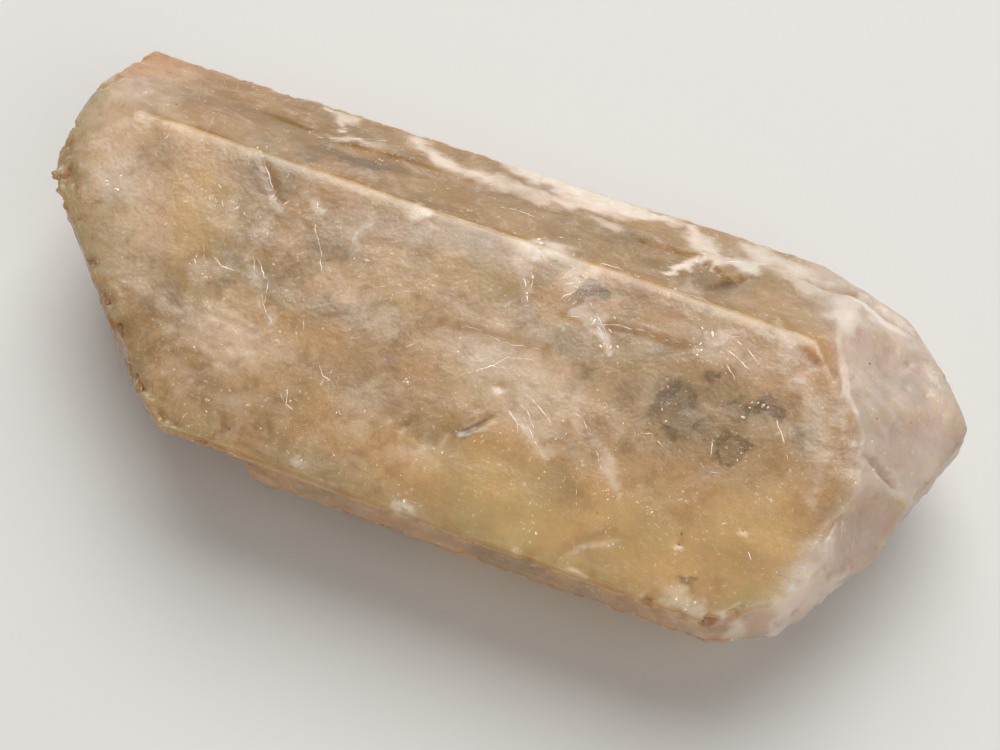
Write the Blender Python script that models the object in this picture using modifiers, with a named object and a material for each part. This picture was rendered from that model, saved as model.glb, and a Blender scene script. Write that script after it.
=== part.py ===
"""Baryte crystal: one loose honey-coloured prism with two broken ends.

A single natural solid in metres, +Z up.  It lies on its flat basal face, with
its length along +X and its origin on the ground under the middle of its box.
Crystal faces are planes that trim a block; chips and scars are then taken off
the worn edges, and two small lumps that survived the breaks are joined on.
"""
import math

import bmesh
import bpy
from mathutils import Matrix, Vector

MM = 0.001

# Driving dimensions of the prism, in millimetres
LENGTH = 40.3
WIDTH = 18.2
HEIGHT = 9.4
RIDGE_Y = 3.3            # where the broad face meets the back slope
BROAD_TILT = 9.3         # degrees that the broad face leans to the front
BACK_EDGE_Y = 8.9
BACK_EDGE_Z = 5.2
FRONT_EDGE_Y = -9.05
FRONT_EDGE_Z = 5.3
EDGE_WEAR = 0.12
STOCK_MARGIN = 4.0       # what the starting block is longer, wider and higher by

# The middle of the finished crystal's box, which the origin is moved under
MIDDLE = Vector((0.93, -0.08, 0.0))

RIDGE = (0.0, RIDGE_Y, HEIGHT)
BACK_EDGE = (0.0, BACK_EDGE_Y, BACK_EDGE_Z)
FRONT_EDGE = (0.0, FRONT_EDGE_Y, FRONT_EDGE_Z)

# Each face: its name, a point on it in mm, the compass angle that it faces
# (0 is +X, 90 is +Y) and how far its outward direction rises, in degrees
PRISM_FACES = (
    ("broad face", RIDGE, -91.0, 90.0 - BROAD_TILT),
    ("back slope", RIDGE, 89.5, 53.0),
    ("back side", BACK_EDGE, 91.0, -20.0),
    ("front side", FRONT_EDGE, -90.5, 4.0),
    ("front underside", FRONT_EDGE, -90.0, -42.0),
)
LEFT_END_FACES = (
    ("left shoulder", (-16.4, 3.6, 9.3), 160.0, 74.0),
    ("left back corner", (-18.85, 3.7, 8.4), 176.0, 3.0),
    ("left tip", (-18.9, 1.2, 8.4), 193.0, -2.0),
    ("left front break", (-16.4, -2.8, 5.2), 223.8, 3.0),
    ("left front corner", (-11.8, -7.6, 5.4), 234.0, 2.0),
    ("left back underside", (-18.9, 5.6, 4.8), 168.0, -46.0),
    ("left front underside", (-16.3, -2.7, 4.9), 222.0, -46.0),
)
RIGHT_END_FACES = (
    ("right shoulder", (15.5, 1.6, 9.1), 32.0, 63.0),
    ("right crown", (17.4, -1.6, 8.5), -2.0, 55.0),
    ("right back shoulder", (14.6, 6.6, 6.9), 66.0, 45.0),
    ("right back corner", (15.2, 8.3, 5.0), 76.0, 12.0),
    ("right back break", (19.5, 4.6, 6.5), 35.5, 4.0),
    ("right front break", (20.1, 0.4, 5.0), -18.5, 5.0),
    ("right front corner", (17.75, -5.1, 5.0), -34.0, 12.0),
    ("right front end", (14.9, -8.25, 5.2), -58.0, 8.0),
    ("right back underside", (19.2, 5.9, 4.6), 42.0, -42.0),
    ("right front underside", (18.6, -3.4, 4.8), -28.0, -44.0),
)

# Each scar: the point that it bites in mm, the compass angle and rise of its
# outward side, its radius of curvature and how deep it goes
SCARS = (
    ((19.3, -1.9, 5.2), -25.0, 15.0, 1.2, 0.22),
    ((17.75, -5.4, 5.2), -36.0, 12.0, 1.3, 0.18),
    ((16.4, -7.0, 5.3), -44.0, 12.0, 1.3, 0.14),
    ((10.9, 9.0, 5.2), 90.0, 20.0, 0.9, 0.20),
    ((17.3, 4.2, 7.5), 34.0, 66.0, 7.0, 0.46),
    ((18.6, 0.6, 7.4), 8.0, 60.0, 6.0, 0.30),
    ((18.2, -3.0, 6.9), -30.0, 40.0, 4.5, 0.26),
    ((-13.2, -6.2, 6.6), 226.0, 24.0, 3.0, 0.20),
    ((-15.4, -3.7, 6.2), 226.0, 24.0, 1.8, 0.16),
    ((-17.6, -1.6, 6.6), 224.0, 24.0, 2.6, 0.20),
    ((-19.0, 1.6, 8.2), 190.0, 20.0, 2.2, 0.10),
    ((3.5, -9.1, 5.3), -90.0, -14.0, 4.0, 0.12),
    ((-4.0, 8.9, 5.3), 92.0, 24.0, 6.0, 0.12),
    ((6.5, 8.9, 5.3), 88.0, 24.0, 5.0, 0.12),
)

# Small lumps left standing at the rim: middle, radii, turn about Z in degrees
LUMPS = (
    ((-18.3, -0.2, 8.5), (0.42, 0.4, 0.6), 20.0),
    ((-5.35, -8.55, 5.9), (1.15, 0.62, 1.15), -2.0),
)

# The sliver that broke off the front edge, left of the lump
BROKEN_EDGE_END_X = -6.4
BROKEN_EDGE_POINT = (-9.0, -8.8, 6.95)
BROKEN_EDGE_COMPASS = 267.0
BROKEN_EDGE_RISE = -40.0
BROKEN_EDGE_SIZE = (12.0, 4.0, 18.0)


def place(point):
    """A point drawn in millimetres, in metres from the origin."""
    return (Vector(point) - MIDDLE) * MM


def outward(compass, rise):
    """The unit direction that faces a compass angle and rises by an angle."""
    flat = math.cos(math.radians(rise))
    east = math.cos(math.radians(compass)) * flat
    north = math.sin(math.radians(compass)) * flat
    return Vector((east, north, math.sin(math.radians(rise))))


def new_collection(name):
    """A collection linked to the scene."""
    collection = bpy.data.collections.new(name)
    bpy.context.scene.collection.children.link(collection)
    return collection


def new_object(name, bm, collection):
    """An object made from a finished bmesh."""
    mesh = bpy.data.meshes.new(name)
    bm.to_mesh(mesh)
    bm.free()
    obj = bpy.data.objects.new(name, mesh)
    collection.objects.link(obj)
    return obj


def trim(bm, point, normal):
    """Take away what lies past a plane and close the solid with a flat face."""
    everything = bm.verts[:] + bm.edges[:] + bm.faces[:]
    result = bmesh.ops.bisect_plane(
        bm, geom=everything, plane_co=point, plane_no=normal, clear_outer=True)
    rim = [part for part in result["geom_cut"] if isinstance(part, bmesh.types.BMEdge)]
    bmesh.ops.edgeloop_fill(bm, edges=rim)


def faceted_block():
    """The prism with its end faces, before any wear."""
    bm = bmesh.new()
    bmesh.ops.create_cube(bm, size=1.0)
    stock = Vector([side + STOCK_MARGIN for side in (LENGTH, WIDTH, HEIGHT)]) * MM
    bmesh.ops.scale(bm, vec=stock, verts=bm.verts)
    bmesh.ops.translate(bm, vec=(0.0, 0.0, stock.z / 2.0), verts=bm.verts)
    for _, point, compass, rise in PRISM_FACES + LEFT_END_FACES + RIGHT_END_FACES:
        trim(bm, place(point), outward(compass, rise))
    bmesh.ops.recalc_face_normals(bm, faces=bm.faces)
    return bm


def ball(middle, radii, turn):
    """A closed ellipsoid turned about Z."""
    bm = bmesh.new()
    bmesh.ops.create_uvsphere(bm, u_segments=28, v_segments=14, radius=MM)
    size = Matrix.Diagonal((*radii, 1.0))
    pose = Matrix.Translation(place(middle)) @ Matrix.Rotation(math.radians(turn), 4, "Z")
    bmesh.ops.transform(bm, matrix=pose @ size, verts=bm.verts)
    return bm


def add_boolean(obj, tool, operation):
    """Join another solid to an object, or cut it away."""
    modifier = obj.modifiers.new(tool.name, "BOOLEAN")
    modifier.operation = operation
    modifier.solver = "EXACT"
    modifier.object = tool


def hide_tool(tool):
    """Show a cutter as wire only."""
    tool.hide_render = True
    tool.display_type = "WIRE"


def add_lumps(obj, tools):
    """Join the lumps that stand out of the rim."""
    for index, (middle, radii, turn) in enumerate(LUMPS):
        lump = new_object(f"lump_{index}", ball(middle, radii, turn), tools)
        hide_tool(lump)
        add_boolean(obj, lump, "UNION")


def cut_scars(obj, tools):
    """Scoop the shell-like scars out of the edges and the broken ends."""
    for index, (rim_point, compass, rise, radius, depth) in enumerate(SCARS):
        middle = Vector(rim_point) + outward(compass, rise) * (radius - depth)
        scar = new_object(f"scar_{index}", ball(middle, (radius,) * 3, compass), tools)
        hide_tool(scar)
        add_boolean(obj, scar, "DIFFERENCE")


def cut_broken_edge(obj, tools):
    """Split the sliver off the front edge along a leaning plane."""
    length, depth, _ = BROKEN_EDGE_SIZE
    bm = bmesh.new()
    bmesh.ops.create_cube(bm, size=MM)
    bmesh.ops.scale(bm, vec=BROKEN_EDGE_SIZE, verts=bm.verts)
    normal = outward(BROKEN_EDGE_COMPASS, BROKEN_EDGE_RISE)
    lean = Vector((0.0, -1.0, 0.0)).rotation_difference(normal).to_matrix()
    bmesh.ops.rotate(bm, matrix=lean, verts=bm.verts)
    middle = Vector(BROKEN_EDGE_POINT) + normal * (depth / 2.0)
    middle.x = BROKEN_EDGE_END_X - length / 2.0
    bmesh.ops.translate(bm, vec=place(middle), verts=bm.verts)
    sliver = new_object("sliver", bm, tools)
    hide_tool(sliver)
    add_boolean(obj, sliver, "DIFFERENCE")


def baryte_material():
    """Honey-coloured baryte with a frosted, slightly glassy skin."""
    material = bpy.data.materials.new("baryte")
    material.use_nodes = True
    shader = material.node_tree.nodes["Principled BSDF"]
    shader.inputs["Base Color"].default_value = (0.53, 0.36, 0.17, 1.0)
    shader.inputs["Roughness"].default_value = 0.3
    shader.inputs["Metallic"].default_value = 0.0
    return material


def wear_edges(obj):
    """Round the edges between the crystal faces a little."""
    bevel = obj.modifiers.new("edge wear", "BEVEL")
    bevel.width = EDGE_WEAR * MM
    bevel.segments = 2
    bevel.limit_method = "ANGLE"
    bevel.angle_limit = math.radians(8.0)


def build():
    """Make the crystal and its cutters."""
    for obj in list(bpy.data.objects):
        bpy.data.objects.remove(obj, do_unlink=True)
    parts = new_collection("baryte_crystal")
    tools = new_collection("cutters")
    crystal = new_object("crystal", faceted_block(), parts)
    crystal.data.materials.append(baryte_material())
    wear_edges(crystal)
    cut_broken_edge(crystal, tools)
    add_lumps(crystal, tools)
    cut_scars(crystal, tools)


build()
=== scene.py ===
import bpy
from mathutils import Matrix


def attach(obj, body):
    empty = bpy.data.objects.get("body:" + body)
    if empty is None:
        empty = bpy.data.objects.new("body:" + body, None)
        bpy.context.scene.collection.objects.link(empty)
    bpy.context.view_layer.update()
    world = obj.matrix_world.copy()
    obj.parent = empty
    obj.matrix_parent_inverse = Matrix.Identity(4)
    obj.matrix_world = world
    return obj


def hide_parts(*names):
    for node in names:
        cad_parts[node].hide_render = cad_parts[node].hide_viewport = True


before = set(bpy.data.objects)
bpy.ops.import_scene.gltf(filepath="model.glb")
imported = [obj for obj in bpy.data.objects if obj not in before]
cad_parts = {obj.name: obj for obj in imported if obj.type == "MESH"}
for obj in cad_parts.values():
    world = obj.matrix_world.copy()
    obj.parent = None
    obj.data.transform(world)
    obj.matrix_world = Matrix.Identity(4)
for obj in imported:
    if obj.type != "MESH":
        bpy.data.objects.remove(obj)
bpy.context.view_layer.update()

import math

import bmesh
import bpy
import numpy as np
from mathutils import Vector, noise
from mathutils.bvhtree import BVHTree
from mathutils.kdtree import KDTree

# ---------------------------------------------------------------------------
# The crystal.  One prism of baryte (barium sulphate) that grew in a vein with flat faces and
# then lost both ends: the left split off nearly straight, the right broke in shell-like scars.
# The CAD solid is meshed finely here and given its growth steps, chips, grooves and pits.
# ---------------------------------------------------------------------------
MM = 0.001
SKIN_GRAIN = 0.152               # side of one small face of the fine mesh, mm
WEAR_ROUNDS = 4                  # how much the edges are rubbed
WEAR_WIDTH = 0.30                # how far from an edge the rubbing reaches, mm
SHARP_ANGLE = 16.0               # faces that meet at more than this make an edge, degrees
EDGE_STEP = 0.1                  # distance between the points that stand for an edge, mm


def smooth_step(value, low, high):
    """0 below low, 1 above high, and an even slope between."""
    t = np.clip((value - low) / (high - low), 0.0, 1.0)
    return t * t * (3.0 - 2.0 * t)


def evaluated_mesh(obj):
    """The plain mesh that an object's modifiers make."""
    view = bpy.context.evaluated_depsgraph_get()
    return bpy.data.meshes.new_from_object(obj.evaluated_get(view))


def points_of(mesh):
    """The mesh's points in millimetres, one row each."""
    flat = np.empty(len(mesh.vertices) * 3)
    mesh.vertices.foreach_get("co", flat)
    return flat.reshape(-1, 3) / MM


def move_points(mesh, points):
    """Put the mesh's points at new places, given in millimetres."""
    mesh.vertices.foreach_set("co", (points * MM).ravel())
    mesh.update()


def normals_of(mesh):
    """The outward direction at each point."""
    flat = np.empty(len(mesh.vertices) * 3)
    mesh.vertex_normals.foreach_get("vector", flat)
    return flat.reshape(-1, 3)


def smoothed(obj, rounds):
    """Where the object's points go when its mesh is rubbed smooth."""
    smooth = obj.modifiers.new("rub", "SMOOTH")
    smooth.factor = 0.5
    smooth.iterations = rounds
    rubbed = evaluated_mesh(obj)
    places = points_of(rubbed)
    obj.modifiers.clear()
    bpy.data.meshes.remove(rubbed)
    return places


def distance_to_edges(solid, points):
    """How far each point is from the nearest sharp edge of a solid, in mm."""
    places = []
    for rim in solid.edges:
        if len(rim.link_faces) == 2 and rim.calc_face_angle() > math.radians(SHARP_ANGLE):
            start, end = (vertex.co / MM for vertex in rim.verts)
            steps = int((end - start).length / EDGE_STEP) + 1
            places += [start.lerp(end, i / steps) for i in range(steps + 1)]
    finder = KDTree(len(places))
    for number, place in enumerate(places):
        finder.insert(place, number)
    finder.balance()
    return np.array([finder.find(point)[2] for point in points.tolist()])


def worn_copy(node_name, name):
    """A fine, even mesh of a CAD solid, true on its faces and worn on its edges."""
    solid = bmesh.new()
    solid.from_mesh(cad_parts[node_name].data)
    bmesh.ops.remove_doubles(solid, verts=solid.verts, dist=0.001 * MM)
    surface = BVHTree.FromBMesh(solid)
    coarse = bpy.data.meshes.new(name + "_coarse")
    solid.to_mesh(coarse)
    obj = bpy.data.objects.new(name, coarse)
    bpy.context.scene.collection.objects.link(obj)
    remesh = obj.modifiers.new("even mesh", "REMESH")
    remesh.mode = "VOXEL"
    remesh.voxel_size = SKIN_GRAIN * MM
    fine = evaluated_mesh(obj)
    obj.modifiers.clear()
    obj.data = fine
    bpy.data.meshes.remove(coarse)
    fine.name = name
    worn = smoothed(obj, WEAR_ROUNDS)
    true = np.array([surface.find_nearest(place)[0] for place in (worn * MM).tolist()]) / MM
    from_edge = distance_to_edges(solid, true)
    solid.free()
    kept = 1.0 - smooth_step(from_edge, 0.5 * WEAR_WIDTH, WEAR_WIDTH)[:, None]
    move_points(fine, true + (worn - true) * kept)
    return obj, from_edge


def grain(points, size, octaves=3, shift=0.0):
    """Soft noise from -1 to 1 whose lumps are about `size` mm across."""
    places = (points / size + shift).tolist()
    return np.array([noise.fractal(p, 0.7, 2.0, octaves, noise_basis="PERLIN_ORIGINAL") for p in places])


def oval(points, middle, radii, turn=0.0, soft=0.5):
    """1 inside an oval that runs straight down through the crystal, 0 outside."""
    a = math.radians(turn)
    dx = points[:, 0] - middle[0]
    dy = points[:, 1] - middle[1]
    along = (dx * math.cos(a) + dy * math.sin(a)) / radii[0]
    across = (-dx * math.sin(a) + dy * math.cos(a)) / radii[1]
    return 1.0 - smooth_step(np.hypot(along, across), 1.0 - soft, 1.0 + soft)


def beside(points, path):
    """Distance from a line drawn from above (left of it is +), and 0 to 1 along it."""
    xy = points[:, :2]
    gap = np.full(len(xy), np.inf)
    side = np.ones(len(xy))
    along = np.zeros(len(xy))
    corners = np.array(path, dtype=float)
    steps = np.diff(corners, axis=0)
    lengths = np.hypot(steps[:, 0], steps[:, 1])
    walked = 0.0
    for start, step, length in zip(corners, steps, lengths):
        way = step / length
        t = np.clip((xy - start) @ way, 0.0, length)
        off = xy - start - t[:, None] * way
        here_gap = np.hypot(off[:, 0], off[:, 1])
        closer = here_gap < gap
        gap = np.where(closer, here_gap, gap)
        side = np.where(closer, np.where(way[0] * off[:, 1] > way[1] * off[:, 0], 1.0, -1.0), side)
        along = np.where(closer, (walked + t) / lengths.sum(), along)
        walked += length
    return gap * side, along


def stroke(points, path, width, soft=0.5):
    """A soft line of the given width that thins out at both ends."""
    across, along = beside(points, path)
    taper = np.clip(4.0 * along * (1.0 - along), 0.12, 1.0) ** 0.5
    return 1.0 - smooth_step(np.abs(across) / (0.5 * width * taper), 1.0 - soft, 1.0 + soft)


crystal, from_edge = worn_copy("crystal", "crystal_body")
mesh = crystal.data
skin = points_of(mesh)
facing = normals_of(mesh)
edge = 1.0 - smooth_step(from_edge, 0.0, WEAR_WIDTH)
upper = smooth_step(facing[:, 2], 0.10, 0.35)

# Where the broken right end begins, which is rougher than the grown faces
RIGHT_BREAK = ((10.6, 10.5), (12.2, 6.6), (13.6, 3.3), (14.7, 1.0), (15.7, -0.9),
               (15.9, -2.8), (14.9, -5.4), (13.2, -9.5))
past_break = beside(skin, RIGHT_BREAK)[0] + 0.25 * grain(skin, 1.6)
broken = smooth_step(past_break, -0.6, 0.7)

# Cracks and grooves that show both as a cut and as a darker line, a painted shade in the crease
TOP_GROOVE = ((12.0, 7.3), (12.8, 7.3), (14.0, 7.6), (15.3, 7.2), (16.6, 6.9))
TIP_CRACK = ((16.1, -0.5), (16.9, -0.8), (17.9, -1.0))
BACK_CRACK = ((8.0, 4.2), (9.0, 5.4), (9.4, 6.4))
LONG_NICK = ((0.6, -5.0), (1.1, -4.6), (1.6, -4.0))
SHORT_NICK = ((-1.7, -5.8), (-1.3, -5.0))
FRONT_CRACK = ((5.8, -8.9), (6.1, -8.2), (6.7, -7.5), (8.1, -6.8))
# Growth steps: low terraces on the broad face, the back slope and the break (path, width, height)
TERRACES = (
    (((-1.9, -1.0), (-0.1, -0.8), (3.0, -0.6)), 0.30, 0.06),
    (((2.5, 0.9), (4.4, 1.1), (6.1, 1.3), (8.4, 1.3)), 0.20, 0.05),
    (((12.5, 7.4), (13.2, 4.9), (14.2, 2.8), (14.8, 1.3), (15.7, -0.1), (16.9, -1.1)), 0.40, 0.20),
    (((11.2, 4.2), (12.3, 2.9), (13.4, 2.2)), 0.30, 0.06),
    (((-13.6, 6.6), (-9.0, 6.2), (-4.0, 6.6), (1.5, 6.9)), 0.30, 0.06),
    (((4.2, 6.2), (7.2, 6.3), (8.6, 5.4), (9.6, 6.2)), 0.35, 0.10),
)
TERRACE_REACH = 1.8              # how far a step's tilt carries on either side of it, mm
# Grooves and cracks cut by the breaks (path, width, depth, height of the raised rim)
GROOVES = (
    (TOP_GROOVE, 0.55, 0.34, 0.12), (TIP_CRACK, 0.30, 0.20, 0.08), (BACK_CRACK, 0.34, 0.10, 0.03),
    (LONG_NICK, 0.26, 0.10, 0.01), (SHORT_NICK, 0.26, 0.05, 0.02), (FRONT_CRACK, 0.40, 0.03, 0.0),
    (((-11.6, 3.5), (-10.9, 2.8), (-10.2, 1.9), (-9.7, 1.5), (-9.4, 2.1), (-9.5, 3.0)), 0.22, 0.03, 0.0),
    (((1.6, -2.9), (3.3, -4.0), (4.9, -5.2)), 0.20, 0.02, 0.0),
)
# Pits left by plucked grains (middle, radius, depth)
PITS = (
    ((-18.95, -0.05), 0.26, 0.20), ((-19.0, 0.35), 0.18, 0.12), ((15.6, 4.0), 0.16, 0.08),
    ((16.0, 3.7), 0.15, 0.09), ((16.8, 4.8), 0.18, 0.10), ((16.9, 3.5), 0.16, 0.08),
    ((15.4, 3.0), 0.14, 0.06), ((16.0, 5.1), 0.15, 0.07), ((10.3, -6.3), 0.16, 0.10),
    ((15.2, 1.8), 0.14, 0.06), ((17.8, 3.6), 0.18, 0.08), ((17.2, 1.4), 0.14, 0.07),
    ((1.5, -2.7), 0.20, 0.08), ((12.5, -5.0), 0.10, 0.05), ((-14.6, -4.0), 0.12, 0.05),
    ((-16.3, 1.9), 0.09, 0.02), ((-17.0, 2.9), 0.08, 0.02), ((-13.9, -5.4), 0.12, 0.05),
)

# How high or deep each kind of roughness goes, mm
WAVES = 0.045                    # slow waves along the length of the faces
UNEVENNESS = 0.010               # a finer unevenness everywhere
RIPPLES = 0.018                  # shell-like ripples on the break
HUMMOCKS = 0.13                  # broad lumps on the break
GRIT = 0.022                     # fine roughness of the break
CHIPS = 0.05                     # small chips along the edges
NIBBLES = 0.03                   # finer wear along the edges
BITES = 0.36                     # the few large bites out of the edges
BITE_REACH = 0.55                # how far from an edge a bite goes
CRUST = 0.022                    # crumbly patch at the left front
KNOB = 0.16                      # gnarled knob on the left edge

# Growth: waves, terraces, grooves and pits
stretched = skin * np.array((0.45, 1.0, 1.0))
lift = WAVES * grain(stretched, 3.2, 2) + UNEVENNESS * grain(skin, 0.8, 2, 5.0)
for path, width, step_height in TERRACES:
    across, along = beside(skin, path)
    ends = smooth_step(along, 0.0, 0.12) * (1.0 - smooth_step(along, 0.88, 1.0))
    near = np.exp(-(across / TERRACE_REACH) ** 2) * ends * upper
    lift += step_height * (smooth_step(across, -0.5 * width, 0.5 * width) - 0.5) * near
for path, width, cut, rim_height in GROOVES:
    across = beside(skin, path)[0]
    lift -= cut * stroke(skin, path, width) * upper
    lift += rim_height * stroke(skin, path, 3.0 * width) * (across > 0.0) * upper
for middle, radius, cut in PITS:
    lift -= cut * oval(skin, middle, (radius, radius)) * upper

# Breakage: ripples that spread from the tip, chipped edges all round, bites at both ends
ripple = np.hypot(skin[:, 0] - 22.0, (skin[:, 1] - 7.5) * 0.8) / 1.9 + 0.6 * grain(skin, 2.4, 2, 9.0)
rough_break = RIPPLES * np.sin(ripple * math.tau) + HUMMOCKS * grain(skin, 2.6, 2, 61.0)
lift += broken * (rough_break + GRIT * grain(skin, 0.5, 3, 3.0))
ridge_kept = 1.0 - 0.9 * upper * (np.abs(skin[:, 1] - 3.4) < 1.0)
chips = np.clip(0.25 - np.abs(grain(skin, 0.85, 2, 17.0)), 0.0, 0.25) / 0.25
chipped = CHIPS * chips + NIBBLES * (grain(skin, 0.5, 2, 29.0) + 0.5)
lift -= edge * ridge_kept * (1.0 - 0.7 * broken * upper) * chipped
ledge = oval(skin, (-5.5, -9.0), (2.2, 1.2))
bites = smooth_step(grain(skin, 1.0, 3, 71.0), 0.02, 0.34) * (1.0 - smooth_step(from_edge, 0.0, BITE_REACH))
bites *= 0.35 + 0.65 * smooth_step(np.abs(skin[:, 0]), 8.0, 12.0)
bites *= (1.0 - 0.8 * broken * upper) * (1.0 - 0.75 * smooth_step(skin[:, 1], 4.5, 6.5)) * (1.0 - ledge)
lift -= BITES * ridge_kept * bites
lift += CRUST * oval(skin, (-11.2, -4.9), (2.2, 2.4), -20.0, 0.6) * upper * grain(skin, 0.45, 3, 41.0)
lift += KNOB * oval(skin, (-19.2, -0.1), (0.9, 0.9)) * grain(skin, 0.7, 2, 51.0)

moved = skin + facing * lift[:, None]
moved[:, 2] = np.maximum(moved[:, 2], 0.0)
move_points(mesh, moved)
mesh.shade_smooth()

# The zones of the crystal as seen from above.  An oval is its middle, radii, turn in degrees
# and strength; a line is its path, width and strength.
warped = skin + 0.45 * np.stack([grain(skin, 1.2, 4, shift) for shift in (11.0, 23.0, 37.0)], axis=1)
MILK_OVALS = (
    ((2.0, -2.0), (3.6, 1.7), -20.0, 0.56), ((1.2, 3.25), (1.0, 0.42), 8.0, 1.0),
    ((3.0, 2.5), (0.8, 0.5), 40.0, 0.8), ((-9.6, -4.5), (2.2, 1.2), -10.0, 0.52),
    ((-4.6, -1.4), (2.4, 0.8), -10.0, 0.45), ((-8.6, -7.0), (1.2, 0.5), 10.0, 0.35),
    ((-11.7, -2.0), (0.7, 0.4), 30.0, 0.5), ((-9.9, 0.4), (0.35, 0.5), 0.0, 0.5),
    ((-11.6, 0.9), (0.3, 0.5), -30.0, 0.5), ((-8.3, 2.1), (0.25, 0.25), 0.0, 0.8),
    ((-4.2, 3.1), (0.35, 0.25), 0.0, 0.9), ((8.9, 1.9), (0.9, 0.5), 10.0, 0.55),
    ((10.1, 1.6), (1.4, 0.7), -20.0, 0.4), ((7.0, -1.2), (0.6, 0.5), 0.0, 0.4),
    ((-3.4, -5.4), (0.9, 1.2), 20.0, 0.45), ((-0.7, -6.4), (1.6, 0.5), 5.0, 0.35),
    ((-16.9, 0.5), (1.4, 1.2), 0.0, 0.6), ((-15.0, -1.6), (1.6, 2.4), 30.0, 0.35),
    ((11.2, -8.3), (0.7, 0.4), 0.0, 0.7), ((13.4, -8.5), (0.5, 0.3), 0.0, 0.9),
    ((-0.4, -8.5), (0.45, 0.22), -30.0, 1.0), ((-4.9, -8.2), (0.25, 0.2), 0.0, 1.0),
    ((9.6, 7.9), (0.9, 0.8), 0.0, 1.0), ((8.5, 6.8), (1.2, 0.3), 25.0, 0.9),
    ((-9.8, 8.0), (0.5, 0.4), 0.0, 0.9), ((-6.2, 8.3), (0.5, 0.4), 0.0, 0.8),
    ((3.0, 6.5), (0.7, 0.3), 0.0, 0.7), ((-8.6, 6.6), (1.4, 0.35), 10.0, 0.7),
    ((-18.2, 4.0), (2.0, 3.2), 0.0, 0.5), ((15.0, 6.6), (1.3, 0.45), -15.0, 1.0),
    ((13.6, 5.6), (0.55, 1.1), 20.0, 0.9), ((10.6, 7.9), (1.5, 0.7), -20.0, 1.0),
    ((11.9, 7.0), (0.8, 0.7), -30.0, 0.8), ((5.2, 8.6), (0.7, 0.5), 0.0, 0.8),
)
MILK_LINES = (
    (((-6.4, 8.3), (-4.6, 7.2), (-2.4, 6.9), (0.8, 7.0), (3.2, 7.9)), 1.1, 0.8),
    (((-3.0, 9.0), (0.4, 8.5), (2.4, 8.2), (5.2, 8.6)), 1.9, 1.0),
    (((6.0, 8.6), (7.1, 7.5), (8.0, 6.1)), 1.0, 0.95),
    (((8.2, 6.3), (9.0, 7.0), (9.9, 7.4)), 0.9, 1.0),
    (((6.1, 4.6), (6.8, 5.5), (7.4, 6.6)), 0.5, 0.95),
    (((-10.9, 8.7), (-9.8, 8.0), (-9.4, 7.2)), 0.7, 0.85),
    (((9.2, 8.4), (10.4, 7.9), (11.8, 6.6)), 1.5, 0.8),
    (((3.2, 1.2), (4.2, 1.1), (5.1, 0.3)), 0.75, 1.0),
    (((4.1, -2.4), (5.1, -2.8), (6.0, -3.6), (6.9, -4.6), (7.4, -5.5)), 0.55, 0.6),
    (((-1.4, -6.2), (-0.6, -6.4), (0.2, -6.0), (0.4, -5.2)), 0.4, 0.5),
    (((1.4, -2.9), (2.6, -3.4), (4.4, -4.8)), 0.8, 0.6),
    (((0.2, 2.9), (1.1, 1.4), (1.9, -0.4)), 0.6, 0.5),
    (((-10.3, -0.6), (-9.3, -2.1), (-7.9, -3.5)), 0.3, 0.5),
    (((-6.2, 0.4), (-6.2, 1.3), (-5.8, 1.8), (-6.0, 2.6)), 0.35, 0.6),
    (((-11.6, 3.5), (-10.9, 2.8), (-10.2, 1.9), (-9.7, 1.6)), 0.28, 0.6),
    (((8.2, 2.0), (9.3, 2.0), (10.4, 2.6)), 0.4, 0.8),
    (((11.0, 3.9), (12.5, 1.6), (14.2, -0.7), (14.9, -3.2)), 0.9, 0.45),
    (((14.8, -7.6), (15.9, -6.1), (16.8, -4.7)), 1.0, 0.7),
)
# Smoke ovals: dark windows, a painted darkness of a dark ground seen through the clear stone
DARK_WINDOW_OVALS = (
    ((8.5, -1.2), (1.0, 1.5), 20.0, 0.8), ((10.9, -2.1), (0.7, 0.75), 0.0, 1.0),
    ((10.85, -0.35), (0.5, 0.62), 20.0, 0.9), ((11.8, -0.2), (0.48, 0.5), -20.0, 0.85),
    ((9.3, 0.5), (0.45, 0.28), -20.0, 0.8), ((3.8, 2.0), (0.6, 0.8), -20.0, 0.7),
    ((-6.7, 0.5), (1.3, 0.6), 5.0, 0.6), ((-3.2, 1.6), (0.4, 1.1), 10.0, 0.45),
    ((-8.2, 5.2), (2.6, 0.55), 8.0, 0.7), ((-9.6, 4.3), (0.9, 0.5), 0.0, 0.6),
    ((8.4, 4.9), (1.4, 0.55), 10.0, 0.6), ((4.4, 6.3), (0.8, 0.5), 0.0, 0.55),
    ((-1.8, 5.7), (2.8, 0.5), 4.0, 0.4), ((-13.4, 7.6), (1.4, 0.6), 0.0, 0.3),
    ((-9.6, 2.6), (0.35, 0.7), 10.0, 0.45), ((11.1, -7.6), (0.35, 0.35), 0.0, 0.6),
    ((13.2, -5.4), (1.7, 1.3), -25.0, 0.36),
    ((6.6, -6.1), (0.4, 0.25), 0.0, 0.5), ((-3.9, -5.8), (0.5, 0.35), 30.0, 0.45),
    ((9.4, -1.0), (3.4, 2.2), -15.0, 0.5), ((-5.0, 1.9), (3.2, 0.9), -4.0, 0.30),
    ((-0.8, 2.4), (1.3, 0.6), 0.0, 0.3),
)
# Smoke lines: painted shade along the grooves and cracks
GROOVE_SHADE_LINES = ((TOP_GROOVE, 0.45, 0.42), (TIP_CRACK, 0.3, 0.40), (LONG_NICK, 0.3, 0.5))
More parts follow.
